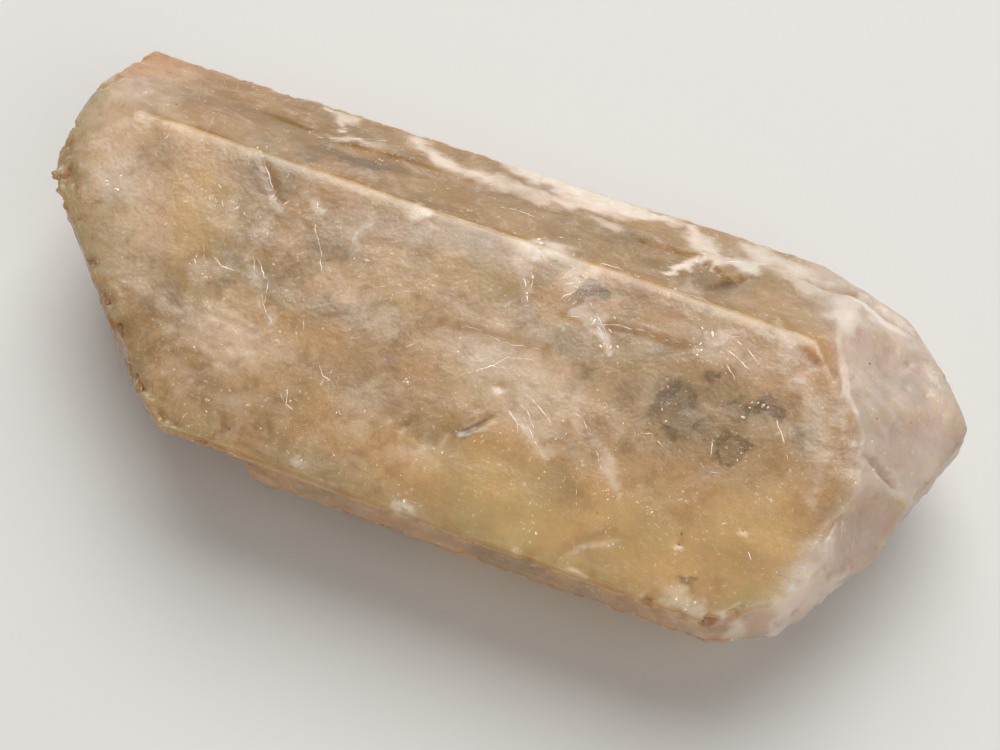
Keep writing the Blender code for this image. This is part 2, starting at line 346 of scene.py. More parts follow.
GOLD_OVALS = (
    ((3.2, -7.0), (4.0, 2.0), -12.0, 0.85), ((8.8, -6.6), (3.2, 1.8), -8.0, 0.75),
    ((13.0, -5.8), (2.4, 1.9), -25.0, 0.95), ((-12.6, 0.2), (1.3, 2.6), 10.0, 0.6),
    ((1.7, -5.6), (1.3, 0.5), 10.0, 0.7), ((7.2, 0.2), (2.0, 0.8), -10.0, 0.5),
    ((-1.2, 1.5), (1.8, 0.9), 0.0, 0.6), ((-2.9, -0.6), (0.35, 0.25), 0.0, 1.0),
    ((13.1, -4.0), (1.6, 1.2), 0.0, 0.5),
)
MOSS_OVALS = (
    ((-12.6, -4.6), (1.5, 3.0), -20.0, 0.8), ((-9.4, -6.2), (1.6, 0.8), 0.0, 0.6),
    ((-7.2, -7.6), (1.4, 1.0), 0.0, 0.4), ((8.4, -1.0), (2.2, 1.8), 0.0, 0.35),
    ((-18.9, 0.1), (0.35, 0.35), 0.0, 0.9), ((-12.0, -0.5), (5.5, 7.0), 0.0, 0.12),
)
# Moss lines: painted shade, darker lines along the cracks and grooves
CRACK_SHADE_LINES = (
    (TOP_GROOVE, 0.50, 1.0), (TIP_CRACK, 0.3, 0.9), (((16.4, 7.3), (17.6, 5.3), (18.3, 4.2)), 0.7, 0.6),
    (FRONT_CRACK, 0.5, 0.6), (LONG_NICK, 0.3, 1.0), (SHORT_NICK, 0.22, 0.7), (BACK_CRACK, 0.3, 0.9),
    (((16.9, 3.9), (17.9, 2.7)), 0.6, 0.5),
)


def gathered(ovals, lines, points, soft):
    """The strongest of a list of soft ovals and lines at each point."""
    total = np.zeros(len(points))
    for middle, radii, turn, strength in ovals:
        total = np.maximum(total, strength * oval(points, middle, radii, turn, soft))
    for path, width, strength in lines:
        total = np.maximum(total, strength * stroke(points, path, width, soft))
    return total


height = skin[:, 2]
top_part = smooth_step(height + 0.4 * grain(skin, 1.5), 3.0, 5.0)
# Smoke: the painted dark windows, with painted shade along the grooves
window_and_groove_darkness = np.maximum(gathered(DARK_WINDOW_OVALS, (), warped, 0.45), gathered((), GROOVE_SHADE_LINES, skin, 0.8))

# The back slope is deeper in colour and darker, partly its own deeper gold and partly painted shade, and
# fades towards the broken tip
back_slope = smooth_step(facing[:, 1], 0.25, 0.5) * (1.0 - broken)
back_slope *= 1.0 - 0.75 * smooth_step(skin[:, 0] + 0.5 * skin[:, 1], 9.0, 14.5)

# A dark band of painted shade, in the moss colour, runs under the broad face's front edge, but for the ledge
# and both ends
front_side = smooth_step(-facing[:, 1], 0.45, 0.75)
front_run = smooth_step(skin[:, 0], -14.0, -12.0) * (1.0 - smooth_step(skin[:, 0], 12.5, 14.0))
ledge_gap = 1.0 - oval(skin, (-5.5, -9.0), (1.1, 2.0))
painted_shade_band = front_side * smooth_step(height, 5.9, 6.3) * front_run * ledge_gap

# Orange along thin edges: on the waist and the left side a painted glow of light shining through the stone,
# at two corners a rust stain
glow = (1.0 - smooth_step(from_edge, 0.0, 0.8)) * np.clip(0.6 + 1.2 * grain(skin, 1.8, 2, 83.0), 0.0, 1.0)
waist = smooth_step(height, 4.2, 5.0) * (1.0 - smooth_step(height, 6.2, 7.2))
waist_glow = glow * waist * (1.0 - 0.8 * broken) * (1.0 - ledge) * (1.0 - 0.6 * back_slope)
left_side = smooth_step(-skin[:, 0] - 0.4 * skin[:, 1], 9.0, 13.0) * smooth_step(facing[:, 2], 0.9, 0.6)
left_side_glow = left_side * (0.35 + 0.45 * glow) * smooth_step(height, 4.0, 6.5)
corner = oval(skin, (-19.0, 7.2), (2.2, 1.5), 20.0) + oval(skin, (8.0, 9.2), (1.0, 0.7), 0.0)
corner_rust = corner * smooth_step(edge + 0.35 * corner, 0.1, 0.6)

# Among these fields, moss and smoke carry painted shade, deep is partly painted shade and rust is partly a
# painted glow
fields = {
    "milk": top_part * gathered(MILK_OVALS, MILK_LINES, warped, 0.8),
    "smoke": top_part * window_and_groove_darkness,
    "gold": gathered(GOLD_OVALS, (), warped, 0.6),
    "deep": back_slope * (0.35 + 0.65 * top_part),
    "moss": np.maximum(gathered(MOSS_OVALS, CRACK_SHADE_LINES, warped, 0.5), 0.75 * painted_shade_band),
    "frost": broken,
    "worn": edge * (1.0 - 0.95 * broken) * (1.0 - 0.5 * upper),
    "rust": np.maximum(np.maximum(waist_glow, 0.8 * left_side_glow), 0.8 * corner_rust),
}
for name, values in fields.items():
    field = mesh.attributes.new(name, "FLOAT", "POINT")
    field.data.foreach_set("value", np.clip(values, 0.0, 1.0).astype(np.float32))


# Honey baryte: clear where it grew undisturbed, milky where cracks healed.
# To the eye it is wet-looking wax: light sinks in, warms, and comes back out,
# so the thin edges glow orange and the skin carries only a soft sheen.
def srgb(hex_colour):
    """A linear colour from an sRGB hex value."""
    channels = [int(hex_colour[i:i + 2], 16) / 255.0 for i in (0, 2, 4)]
    linear = [c / 12.92 if c <= 0.04045 else ((c + 0.055) / 1.055) ** 2.4 for c in channels]
    return (*linear, 1.0)


def add(tree, kind, settings=None, links=None, give=0):
    """A node with its settings, socket values and links; gives back one of its outputs."""
    node = tree.nodes.new(kind)
    for key, value in (settings or {}).items():
        if isinstance(key, str) and hasattr(node, key):
            setattr(node, key, value)
        else:
            node.inputs[key].default_value = value
    for key, source in (links or {}).items():
        tree.links.new(source, node.inputs[key])
    return node.outputs[give]


def new_material(name):
    """A material whose tree holds only its output."""
    material = bpy.data.materials.new(name)
    material.use_nodes = True
    tree = material.node_tree
    tree.nodes.clear()
    return material, tree, tree.nodes.new("ShaderNodeOutputMaterial")


baryte, tree, output = new_material("honey_baryte")
here = add(tree, "ShaderNodeTexCoord", give="Object")
zone = {name: add(tree, "ShaderNodeAttribute", {"attribute_name": name}, give="Fac") for name in fields}
lengthwise = add(tree, "ShaderNodeMapping", {"Scale": (0.62, 1.0, 1.0)}, {"Vector": here})
CLOUDS = {                       # size of the lumps in mm, detail, roughness, distortion
    "mottle": (2.4, 3.0, 0.55, 0.0), "wisps": (1.0, 8.0, 0.72, 0.4), "crumbs": (0.17, 3.0, 0.7, 0.0),
    "flecks": (0.35, 4.0, 0.6, 0.0), "streaks": (2.0, 4.0, 0.55, 0.8), "stray_milk": (1.7, 10.0, 0.76, 0.7),
    "frosting": (0.28, 6.0, 0.75, 0.0), "dimples": (0.30, 5.0, 0.65, 0.0), "grit": (0.14, 3.0, 0.6, 0.0),
    "smears": (1.1, 4.0, 0.55, 0.0),
}
cloud = {}
for name, (size, detail, rough, distort) in CLOUDS.items():
    look = {"Scale": 1.0 / (size * MM), "Detail": detail, "Roughness": rough, "Distortion": distort}
    cloud[name] = add(tree, "ShaderNodeTexNoise", look, {"Vector": lengthwise if name == "streaks" else here})
cells = add(tree, "ShaderNodeTexVoronoi", {"Scale": 1.0 / (0.9 * MM)}, {"Vector": here}, "Color")
shards = add(tree, "ShaderNodeSeparateColor", {}, {"Color": cells}, "Blue")

# Each cloud cut to the band that shows: from, to, and what those two become
BANDS = {
    "mottle": (cloud["mottle"], 0.35, 0.65, 0.0, 1.0),
    "torn": (cloud["wisps"], 0.25, 0.75, -1.0, 1.0),
    "dark_wisps": (cloud["wisps"], 0.52, 0.40, 0.0, 0.5),
    "thin_wisps": (cloud["wisps"], 0.46, 0.60, 0.15, 0.95),
    "crumbs": (cloud["crumbs"], 0.60, 0.68, 0.0, 1.0),
    "streaks": (cloud["streaks"], 0.34, 0.64, 0.0, 1.0),
    "flecks": (cloud["flecks"], 0.50, 0.66, 0.45, 1.0),
    "stray_milk": (cloud["stray_milk"], 0.50, 0.66, 0.0, 0.36),
    "frosting": (cloud["frosting"], 0.36, 0.62, 0.45, 0.95),
    "smears": (cloud["smears"], 0.3, 0.7, 0.0, 0.08),
    "shards": (shards, 0.15, 0.85, 0.62, 1.0),
}
band = {name: add(tree, "ShaderNodeMapRange",
                  {"From Min": low, "From Max": high, "To Min": to_low, "To Max": to_high}, {"Value": source})
        for name, (source, low, high, to_low, to_high) in BANDS.items()}

# Milk has ragged edges, stray wisps and crumbs of bubbles
milk = add(tree, "ShaderNodeMath", {"operation": "MULTIPLY_ADD", 1: 0.24},
           {0: band["torn"], 2: zone["milk"]})
milk = add(tree, "ShaderNodeMapRange", {"From Min": 0.05, "From Max": 1.15, "To Max": 0.95}, {"Value": milk})
half_milk = add(tree, "ShaderNodeMath", {"operation": "MULTIPLY", 1: 0.5}, {0: zone["milk"]})
streaky_milk = add(tree, "ShaderNodeMath", {"operation": "MULTIPLY"}, {0: half_milk, 1: band["streaks"]})
stray_milk = add(tree, "ShaderNodeMath", {"operation": "MULTIPLY_ADD", "use_clamp": True, 1: -0.4},
                 {0: zone["gold"], 2: band["stray_milk"]})
crumb_milk = add(tree, "ShaderNodeMath", {"operation": "MULTIPLY"},
                 {0: band["crumbs"], 1: band["thin_wisps"]})
for more in (streaky_milk, stray_milk, crumb_milk):
    milk = add(tree, "ShaderNodeMath", {"operation": "MAXIMUM"}, {0: milk, 1: more})

# Smoke, a painted darkness of a dark ground seen through clear stone and a painted shade in the grooves, is
# broken into straight-sided shards and dusted with crumbs
smoke = add(tree, "ShaderNodeMath", {"operation": "MULTIPLY_ADD", 1: 0.25},
            {0: band["torn"], 2: zone["smoke"]})
smoke = add(tree, "ShaderNodeMapRange", {"From Min": 0.34, "From Max": 0.72}, {"Value": smoke})
haze = add(tree, "ShaderNodeMath", {"operation": "MULTIPLY", 1: 0.6}, {0: zone["smoke"]})
smoke = add(tree, "ShaderNodeMath", {"operation": "MAXIMUM"}, {0: smoke, 1: haze})
smoke = add(tree, "ShaderNodeMath", {"operation": "MULTIPLY"}, {0: smoke, 1: band["shards"]})
clear_of_crumbs = add(tree, "ShaderNodeMapRange", {"To Min": 1.0, "To Max": 0.5}, {"Value": band["crumbs"]})
smoke = add(tree, "ShaderNodeMath", {"operation": "MULTIPLY"}, {0: smoke, 1: clear_of_crumbs})

# Moss, with the painted shade of the front band and the cracks that it carries, comes in flecks
moss = add(tree, "ShaderNodeMath", {"operation": "MULTIPLY"}, {0: zone["moss"], 1: band["flecks"]})
frost = add(tree, "ShaderNodeMath", {"operation": "MULTIPLY"}, {0: zone["frost"], 1: band["frosting"]})
# The back slope's deeper gold and its painted shade are streaked
streaky = add(tree, "ShaderNodeMapRange", {"To Min": 0.5}, {"Value": band["streaks"]})
deep = add(tree, "ShaderNodeMath", {"operation": "MULTIPLY"}, {0: zone["deep"], 1: streaky})

# The colours from the bottom up: shade, strength and where it lies
# Painted light among the layers: smoke is a painted darkness seen through clear stone, moss and deep are
# partly painted shade, and rust is partly a painted glow
LAYERS = (
    ("B98F5A", 1.00, band["dark_wisps"]), ("FFD995", 0.90, zone["gold"]), ("A08B5E", 0.80, moss),
    ("9E7430", 0.95, deep), ("DFD0C6", 1.00, frost), ("FCEEE0", 1.00, milk),
    ("64502A", 0.78, smoke), ("E0B47C", 0.35, zone["worn"]), ("D88A45", 0.65, zone["rust"]),
)
colour = add(tree, "ShaderNodeMix", {"data_type": "RGBA", 6: srgb("E5BA82"), 7: srgb("F0D09C")},
             {0: band["mottle"]}, 2)
for shade, strength, where in LAYERS:
    share = add(tree, "ShaderNodeMath", {"operation": "MULTIPLY", 1: strength}, {0: where})
    colour = add(tree, "ShaderNodeMix", {"data_type": "RGBA", 7: srgb(shade)}, {0: share, 6: colour}, 2)

# Light goes deep where the crystal is clear, and less so where it is milky, frosted or worn
LOSSES = ((zone["smoke"], 0.10), (zone["gold"], 0.06), (milk, 0.30), (zone["frost"], 0.20),
          (zone["deep"], 0.22), (zone["worn"], 0.20))
light_through = add(tree, "ShaderNodeMapRange", {"To Min": 0.54, "To Max": 0.66}, {"Value": band["mottle"]})
for where, loss in LOSSES:
    light_through = add(tree, "ShaderNodeMath", {"operation": "MULTIPLY_ADD", "use_clamp": True, 1: -loss},
                        {0: where, 2: light_through})

# Etched skin: shallow dimples about 0.3 mm across, coarser and duller on the break
dimples = add(tree, "ShaderNodeBump", {"Strength": 0.55, "Distance": 0.03 * MM}, {"Height": cloud["dimples"]})
roughening = add(tree, "ShaderNodeMath", {"operation": "MULTIPLY"}, {0: cloud["grit"], 1: zone["frost"]})
bumps = add(tree, "ShaderNodeBump", {"Strength": 0.6, "Distance": 0.04 * MM},
            {"Height": roughening, "Normal": dimples})
dull = add(tree, "ShaderNodeMapRange", {"To Min": 0.13, "To Max": 0.32}, {"Value": zone["frost"]})
dull = add(tree, "ShaderNodeMath", {"operation": "ADD"}, {0: dull, 1: band["smears"]})
dull = add(tree, "ShaderNodeMath", {"operation": "MULTIPLY_ADD", 1: 0.35}, {0: zone["worn"], 2: dull})
shader = add(tree, "ShaderNodeBsdfPrincipled",
             {"IOR": 1.64, "Subsurface Weight": 1.0, "Subsurface Radius": (1.0, 0.62, 0.34),
              "Subsurface Scale": 3.0 * MM},
             {"Base Color": colour, "Transmission Weight": light_through, "Roughness": dull, "Normal": bumps})
depth = add(tree, "ShaderNodeVolumeAbsorption", {"Color": srgb("EEC68A"), "Density": 22.0})
tree.links.new(shader, output.inputs["Surface"])
tree.links.new(depth, output.inputs["Volume"])
mesh.materials.clear()
mesh.materials.append(baryte)
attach(crystal, "root")
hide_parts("crystal")

# ---------------------------------------------------------------------------
# Sealed cracks.  Seams and hairlines that opened while the crystal grew and then healed, each
# a thread of tiny trapped bubbles.  They break the smooth faces into fine bright lines.
# ---------------------------------------------------------------------------
WHITE_SEAMS = (
    ((-12.6, 3.5), (-11.5, 3.6), (-10.9, 2.8), (-10.2, 1.9), (-9.7, 1.6), (-9.5, 1.9), (-9.6, 2.5)),
    ((-10.4, -0.4), (-9.6, -1.6), (-8.8, -2.6), (-7.9, -3.5)), ((-10.0, -0.8), (-9.0, -1.7), (-8.7, -2.8)),
    ((-7.3, -2.2), (-6.9, -3.2)), ((-8.4, 1.7), (-7.9, 0.8), (-7.4, 0.2), (-6.9, -1.1)),
    ((-5.9, 0.4), (-5.2, 0.5)), ((-5.0, -0.6), (-4.2, -0.2)), ((-3.3, 0.4), (-2.2, 0.4)),
    ((-11.8, -1.3), (-11.1, -1.7), (-10.3, -1.7)), ((-12.2, -1.0), (-11.9, -1.7)),
    ((-12.3, 1.0), (-11.7, 0.4)), ((-13.6, 0.9), (-13.3, 1.4)), ((-12.7, 1.6), (-12.4, 1.3)),
    ((-13.0, 1.0), (-12.5, 0.8)), ((-6.6, -5.4), (-6.4, -6.2), (-5.8, -6.4)),
    ((-5.9, -4.2), (-5.4, -4.6), (-4.8, -4.7)), ((-4.5, -5.6), (-4.1, -5.9), (-3.8, -5.4)),
    ((-2.4, -3.9), (-2.1, -3.7), (-1.8, -3.7)), ((-1.9, -1.0), (-0.1, -0.8), (1.4, -0.9), (3.0, -0.6)),
    ((-0.6, -3.4), (0.0, -2.6), (0.9, -2.0), (2.2, -1.9)),
    ((1.7, -3.0), (2.6, -3.4), (3.4, -4.1), (4.4, -5.0)), ((1.9, -2.9), (2.9, -3.3), (3.8, -4.2)),
    ((1.6, -3.2), (2.4, -3.7), (3.0, -4.4)), ((2.2, -2.5), (3.2, -2.9), (4.0, -3.5), (4.5, -4.2)),
    ((0.7, -2.2), (1.4, -1.5), (2.6, -1.2)),
    ((4.2, -2.5), (5.1, -2.9), (5.9, -3.7), (6.7, -4.7), (7.3, -5.5)), ((2.4, 1.9), (2.8, 2.3), (3.4, 2.9)),
    ((2.6, 1.5), (3.1, 2.1), (3.9, 2.6)), ((2.2, 2.1), (2.5, 2.7), (3.0, 3.1)),
    ((2.4, 1.3), (2.9, 1.8), (3.1, 2.5)), ((3.2, 1.2), (4.2, 1.1), (5.1, 0.3)),
    ((3.5, 1.5), (4.3, 1.3), (4.9, 0.7)), ((2.5, 0.9), (4.4, 1.1), (6.1, 1.3), (8.4, 1.4)),
    ((0.3, 2.7), (1.0, 1.6), (1.5, 0.6), (1.9, -0.3)), ((0.6, 2.8), (1.2, 2.0), (1.4, 1.1)),
    ((8.3, 2.0), (8.7, 1.6), (9.4, 2.1), (10.3, 2.6)), ((9.1, 1.9), (10.2, 1.5), (11.3, 0.8)),
    ((8.9, 1.5), (9.8, 1.1), (10.6, 0.4)), ((9.5, 2.3), (10.4, 2.0), (11.2, 1.4)),
    ((11.3, 0.8), (12.1, 0.0), (12.6, -0.7), (13.1, -1.3), (13.4, -2.2)),
    ((9.7, -2.8), (10.4, -3.2), (11.2, -3.2)), ((10.2, -1.9), (10.4, -2.8)),
    ((7.2, -2.8), (7.9, -2.6), (8.7, -3.0)), ((15.8, -2.6), (16.0, -3.3), (16.3, -4.0)),
    ((16.6, -3.0), (16.9, -4.1)), ((12.9, -5.7), (13.3, -6.1)), ((6.3, 4.8), (6.9, 5.8), (7.2, 6.7)),
    ((6.1, 5.0), (6.6, 5.4), (7.4, 6.2)), ((8.0, 6.4), (8.6, 6.9), (9.4, 7.2)),
    ((-6.0, 3.45), (-4.8, 3.4), (-2.5, 3.45), (0.2, 3.4)), ((1.9, 3.45), (4.1, 3.6), (6.0, 3.4)),
    ((6.2, 3.3), (7.4, 3.4), (8.9, 3.4)), ((-16.9, 4.6), (-15.9, 4.7)), ((-17.4, 4.3), (-16.2, 4.2)),
    ((-10.8, 5.6), (-9.6, 6.2), (-8.4, 6.9), (-7.2, 7.7)), ((-2.2, 5.0), (-0.6, 5.4), (0.8, 5.3)),
)
SEAM_THICKNESS = 0.019           # girth of a seam where its beads are smallest, mm
SEAM_STEP = 0.10                 # distance between the points of a seam, mm
BEAD_SIZE = 0.35                 # length of the swellings along a seam, mm
SKY_HEIGHT = 14.0                # height that seams are dropped from on to the skin, mm
RAY_LENGTH = 0.03                # longer than any drop through the crystal, m


def new_tree(name, inputs):
    """A Geometry Nodes tree with named inputs, and its input and output nodes."""
    tree = bpy.data.node_groups.new(name, "GeometryNodeTree")
    tree.interface.new_socket("Geometry", in_out="INPUT", socket_type="NodeSocketGeometry")
    for label, kind in inputs:
        tree.interface.new_socket(label, in_out="INPUT", socket_type="NodeSocket" + kind)
    tree.interface.new_socket("Geometry", in_out="OUTPUT", socket_type="NodeSocketGeometry")
    return tree, tree.nodes.new("NodeGroupInput").outputs, tree.nodes.new("NodeGroupOutput")


def grown(name, tree, values, points=((0.0, 0.0, 0.0),), edges=()):
    """The piece that a tree grows on some points (mm): a plain mesh in a new object."""
    start = bpy.data.meshes.new(name + "_start")
    start.from_pydata([Vector(point) * MM for point in points], edges, [])
    obj = bpy.data.objects.new(name, start)
    bpy.context.scene.collection.objects.link(obj)
    modifier = obj.modifiers.new(tree.name, "NODES")
    modifier.node_group = tree
    for item in tree.interface.items_tree:
        if item.in_out == "INPUT" and item.name in values:
            modifier[item.identifier] = values[item.name]
    result = evaluated_mesh(obj)
    obj.modifiers.clear()
    obj.data = result
    result.name = name
    bpy.data.meshes.remove(start)
    return obj


def dropped(tree, skin, depth):
    """Where points land when they fall on the skin and sink in, and the skin's outward direction there."""
    position = add(tree, "GeometryNodeInputPosition")
    body = add(tree, "GeometryNodeObjectInfo", {}, {"Object": skin}, "Geometry")
    outward = add(tree, "GeometryNodeRaycast", {"Ray Direction": (0.0, 0.0, -1.0), "Ray Length": RAY_LENGTH},
                  {"Target Geometry": body, "Source Position": position}, "Hit Normal")
    down = add(tree, "ShaderNodeVectorMath", {"operation": "SCALE"}, {0: outward, "Scale": depth})
    landed = add(tree, "ShaderNodeVectorMath", {"operation": "SUBTRACT"},
                 {0: outward.node.outputs["Hit Position"], 1: down})
    return landed, outward


def without_strays(tree, geometry):
    """The geometry without the points that missed the skin and so lie at the origin."""
    position = add(tree, "GeometryNodeInputPosition")
    level = add(tree, "ShaderNodeSeparateXYZ", {}, {0: position}, "Z")
    stray = add(tree, "FunctionNodeCompare", {"operation": "LESS_THAN", "B": 1.0 * MM}, {"A": level})
    return add(tree, "GeometryNodeDeleteGeometry", {}, {"Geometry": geometry, "Selection": stray})


def finish_tree(tree, geometry, given, ended):
    """End a tree with real geometry in the stone that it was given."""
    real = add(tree, "GeometryNodeRealizeInstances", {}, {"Geometry": geometry})
    stone = add(tree, "GeometryNodeSetMaterial", {}, {"Geometry": real, "Material": given["Stone"]})
    tree.links.new(stone, ended.inputs["Geometry"])


def two_toned(name, dark, light, lumps, parting, ior, roughness):
    """A material of two shades in soft lumps: their size in mm, detail and roughness, and where they part."""
    material, tree, output = new_material(name)
    here = add(tree, "ShaderNodeTexCoord", give="Object")
    size, detail, rough = lumps
    lump = add(tree, "ShaderNodeTexNoise",
               {"Scale": 1.0 / (size * MM), "Detail": detail, "Roughness": rough}, {"Vector": here})
    share = add(tree, "ShaderNodeMapRange", {"From Min": parting[0], "From Max": parting[1]}, {"Value": lump})
    shade = add(tree, "ShaderNodeMix", {"data_type": "RGBA", 6: srgb(dark), 7: srgb(light)}, {0: share}, 2)
    shader = add(tree, "ShaderNodeBsdfPrincipled", {"IOR": ior, "Roughness": roughness},
                 {"Base Color": shade})
    tree.links.new(shader, output.inputs["Surface"])
    return material


# Trapped bubbles: a white, slightly glossy thread with a warm cast
white_thread = two_toned(
    "trapped_bubble_white", "F2E2C8", "FFFBF4", (0.5, 4.0, 0.55), (0.35, 0.65), ior=1.5, roughness=0.22)

seam_tree, given, ended = new_tree("seam_on_skin", (
    ("Skin", "Object"), ("Thickness", "Float"), ("Waver", "Float"), ("Waver Size", "Float"),
    ("Sink", "Float"), ("Seed", "Float"), ("Stone", "Material")))
tree = seam_tree
position = add(tree, "GeometryNodeInputPosition")
thread = add(tree, "GeometryNodeMeshToCurve", {}, {"Mesh": given["Geometry"]})
thread = add(tree, "GeometryNodeResampleCurve", {"mode": "LENGTH", "Length": SEAM_STEP * MM},
             {"Curve": thread})
drift = add(tree, "ShaderNodeTexNoise", {"noise_dimensions": "4D", "Detail": 4.0, "Roughness": 0.6},
            {"Vector": position, "W": given["Seed"], "Scale": given["Waver Size"]}, "Color")
centred = add(tree, "ShaderNodeVectorMath", {"operation": "SUBTRACT", 1: (0.5, 0.5, 0.5)}, {0: drift})
sideways = add(tree, "ShaderNodeVectorMath", {"operation": "SCALE"}, {0: centred, "Scale": given["Waver"]})
thread = add(tree, "GeometryNodeSetPosition", {}, {"Geometry": thread, "Offset": sideways})
landed = dropped(tree, given["Skin"], given["Sink"])[0]
thread = add(tree, "GeometryNodeSetPosition", {}, {"Geometry": thread, "Position": landed})
thread = without_strays(tree, thread)

# Its girth swells in beads and thins out at both ends
along = add(tree, "GeometryNodeSplineParameter")
back = add(tree, "ShaderNodeMath", {"operation": "SUBTRACT", 0: 1.0}, {1: along})
taper = add(tree, "ShaderNodeMath", {"operation": "MULTIPLY"}, {0: along, 1: back})
taper = add(tree, "ShaderNodeMath", {"operation": "SQRT"}, {0: taper})
beads = add(tree, "ShaderNodeTexNoise",
            {"noise_dimensions": "4D", "Scale": 1.0 / (BEAD_SIZE * MM), "Detail": 2.0},
            {"Vector": position, "W": given["Seed"]})
beads = add(tree, "ShaderNodeMapRange", {"From Min": 0.3, "From Max": 0.7, "To Min": 0.5, "To Max": 3.2},
            {"Value": beads})
girth = add(tree, "ShaderNodeMath", {"operation": "MULTIPLY"}, {0: taper, 1: beads})
girth = add(tree, "ShaderNodeMath", {"operation": "MULTIPLY"}, {0: girth, 1: given["Thickness"]})
ring = add(tree, "GeometryNodeCurvePrimitiveCircle", {"Resolution": 5, "Radius": 1.0})
tube = add(tree, "GeometryNodeCurveToMesh", {"Fill Caps": True},
           {"Curve": thread, "Profile Curve": ring, "Scale": girth})
finish_tree(tree, tube, given, ended)


def drawn(paths):
    """The points and edges of some lines, lifted well above the crystal."""
    points, edges = [], []
    for path in paths:
        edges += [(len(points) + i, len(points) + i + 1) for i in range(len(path) - 1)]
        points += [(x, y, SKY_HEIGHT) for x, y in path]
    return points, edges


seams = grown("sealed_cracks", seam_tree, {
    "Skin": crystal, "Thickness": SEAM_THICKNESS * MM, "Waver": 0.5 * MM, "Waver Size": 1.0 / (0.9 * MM),
    "Sink": 0.012 * MM, "Seed": 3.0, "Stone": white_thread}, *drawn(WHITE_SEAMS))
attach(seams, "root")

# Hairlines: swarms of short, fine cleavage cracks, most of them along two directions
HAIRLINE_SWARMS = (              # middle, spread, how many, main direction in degrees
    ((1.6, -2.6), (2.2, 1.3), 24, -38.0), ((3.4, 1.8), (1.3, 1.0), 26, 52.0),
    ((9.4, 1.3), (1.6, 0.8), 20, -32.0), ((-5.0, -1.0), (3.4, 1.6), 30, 20.0),
    ((-10.6, -3.6), (2.6, 2.2), 30, -50.0), ((-10.8, 1.6), (1.8, 1.6), 24, 60.0),
    ((-4.6, -5.0), (2.2, 1.2), 20, -60.0), ((8.8, -2.0), (2.4, 1.8), 22, -30.0),
    ((5.8, -3.8), (1.4, 1.4), 20, -50.0), ((-1.0, 6.6), (5.0, 0.9), 26, 12.0),
    ((7.6, 6.0), (1.6, 1.0), 20, 55.0), ((15.6, 1.6), (1.4, 2.6), 18, -60.0),
    ((-15.6, 1.6), (1.8, 2.4), 14, 70.0), ((4.0, -6.6), (5.0, 1.2), 12, -30.0),
)
HAIR_THICKNESS = 0.010           # girth of a hairline where its beads are smallest, mm
SHORTEST_HAIR = 0.12             # mm
HAIR_SPREAD = 0.26               # how much longer than the shortest they usually are, mm
CROSSING_ANGLE = 78.0            # between the two cleavage directions, degrees
CROSSING_SHARE = 0.25            # how many of them lie the other way
dice = np.random.default_rng(11)
hairlines = []
for middle, reach, count, turn in HAIRLINE_SWARMS:
    for _ in range(count):
        x, y = middle + dice.normal(0.0, 0.6, 2) * reach
        length = SHORTEST_HAIR + dice.exponential(HAIR_SPREAD)
        crossing = dice.choice((0.0, CROSSING_ANGLE), p=(1.0 - CROSSING_SHARE, CROSSING_SHARE))
        a = math.radians(turn + crossing + dice.normal(0.0, 10.0))
        hairlines.append(((x, y), (x + 0.5 * length * math.cos(a), y + 0.5 * length * math.sin(a)),
                          (x + length * math.cos(a + 0.15), y + length * math.sin(a + 0.15))))
hairs = grown("cleavage_hairlines", seam_tree, {
    "Skin": crystal, "Thickness": HAIR_THICKNESS * MM, "Waver": 0.25 * MM, "Waver Size": 1.0 / (0.6 * MM),
    "Sink": 0.008 * MM, "Seed": 7.0, "Stone": white_thread}, *drawn(hairlines))
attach(hairs, "root")

# ---------------------------------------------------------------------------
# Cleavage glints.  Where the perfect cleavage of baryte started to open, tiny
# plates lie just under the skin, glossy and coloured warm white as painted glints, so they show as white
# sparks.
# ---------------------------------------------------------------------------
GLINT_SWARMS = (                 # middle, spread, how many
    ((-12.8, 1.0), (0.9, 0.6), 28), ((-11.7, 0.9), (0.3, 0.5), 16), ((-11.8, -2.0), (0.6, 0.4), 24),
    ((-10.0, 0.3), (0.3, 0.4), 16), ((-12.0, 3.4), (1.4, 0.25), 24), ((-5.2, -4.6), (0.9, 0.6), 28),
    ((-3.9, -5.6), (0.8, 0.5), 24), ((1.2, 1.4), (0.9, 1.6), 52), ((3.0, 2.3), (0.9, 0.8), 44),
    ((4.4, 0.9), (0.9, 0.5), 36), ((1.6, -2.2), (2.4, 1.0), 80), ((5.6, -3.4), (1.6, 1.0), 44),
    ((8.4, -1.6), (1.3, 1.6), 12), ((11.2, -1.2), (1.4, 1.6), 12), ((9.6, 1.4), (1.4, 0.8), 30),
    ((-10.5, -4.8), (2.2, 1.6), 60), ((-7.0, 5.2), (2.0, 0.9), 36), ((-2.0, 5.4), (3.0, 0.9), 32),
    ((7.0, 5.8), (0.9, 0.9), 28), ((11.1, -8.2), (0.6, 0.5), 16), ((-0.4, -8.4), (0.4, 0.2), 12),
    ((-6.0, 0.2), (5.0, 1.6), 52), ((0.0, -5.5), (12.0, 2.5), 68), ((4.0, 3.45), (8.0, 0.15), 44),
    ((16.5, 0.5), (1.6, 2.6), 28),
)
GLINT_SIZES = (0.02, 0.09)       # smallest and largest plate of a swarm, mm
FLAKE_SIZES = (0.04, 0.15)       # smallest and largest plate of a nest, mm


def strewn(swarms, share):
    """Points strewn round the middles of some swarms, well above the crystal."""
    points = []
    for middle, reach, count in swarms:
        offsets = dice.normal(0.0, share, (count, 2)) * reach
        points += [(middle[0] + dx, middle[1] + dy, SKY_HEIGHT) for dx, dy in offsets]
    return points


# Fresh cleavage: glossy like the crystal, in lumps of pale gold and warm white, a painted glint that shows
# whichever way a plate faces
glint = two_toned(
    "cleavage_glint", "EBCF9C", "FFF7EA", (0.5, 3.0, 0.55), (0.40, 0.62), ior=1.64, roughness=0.12)

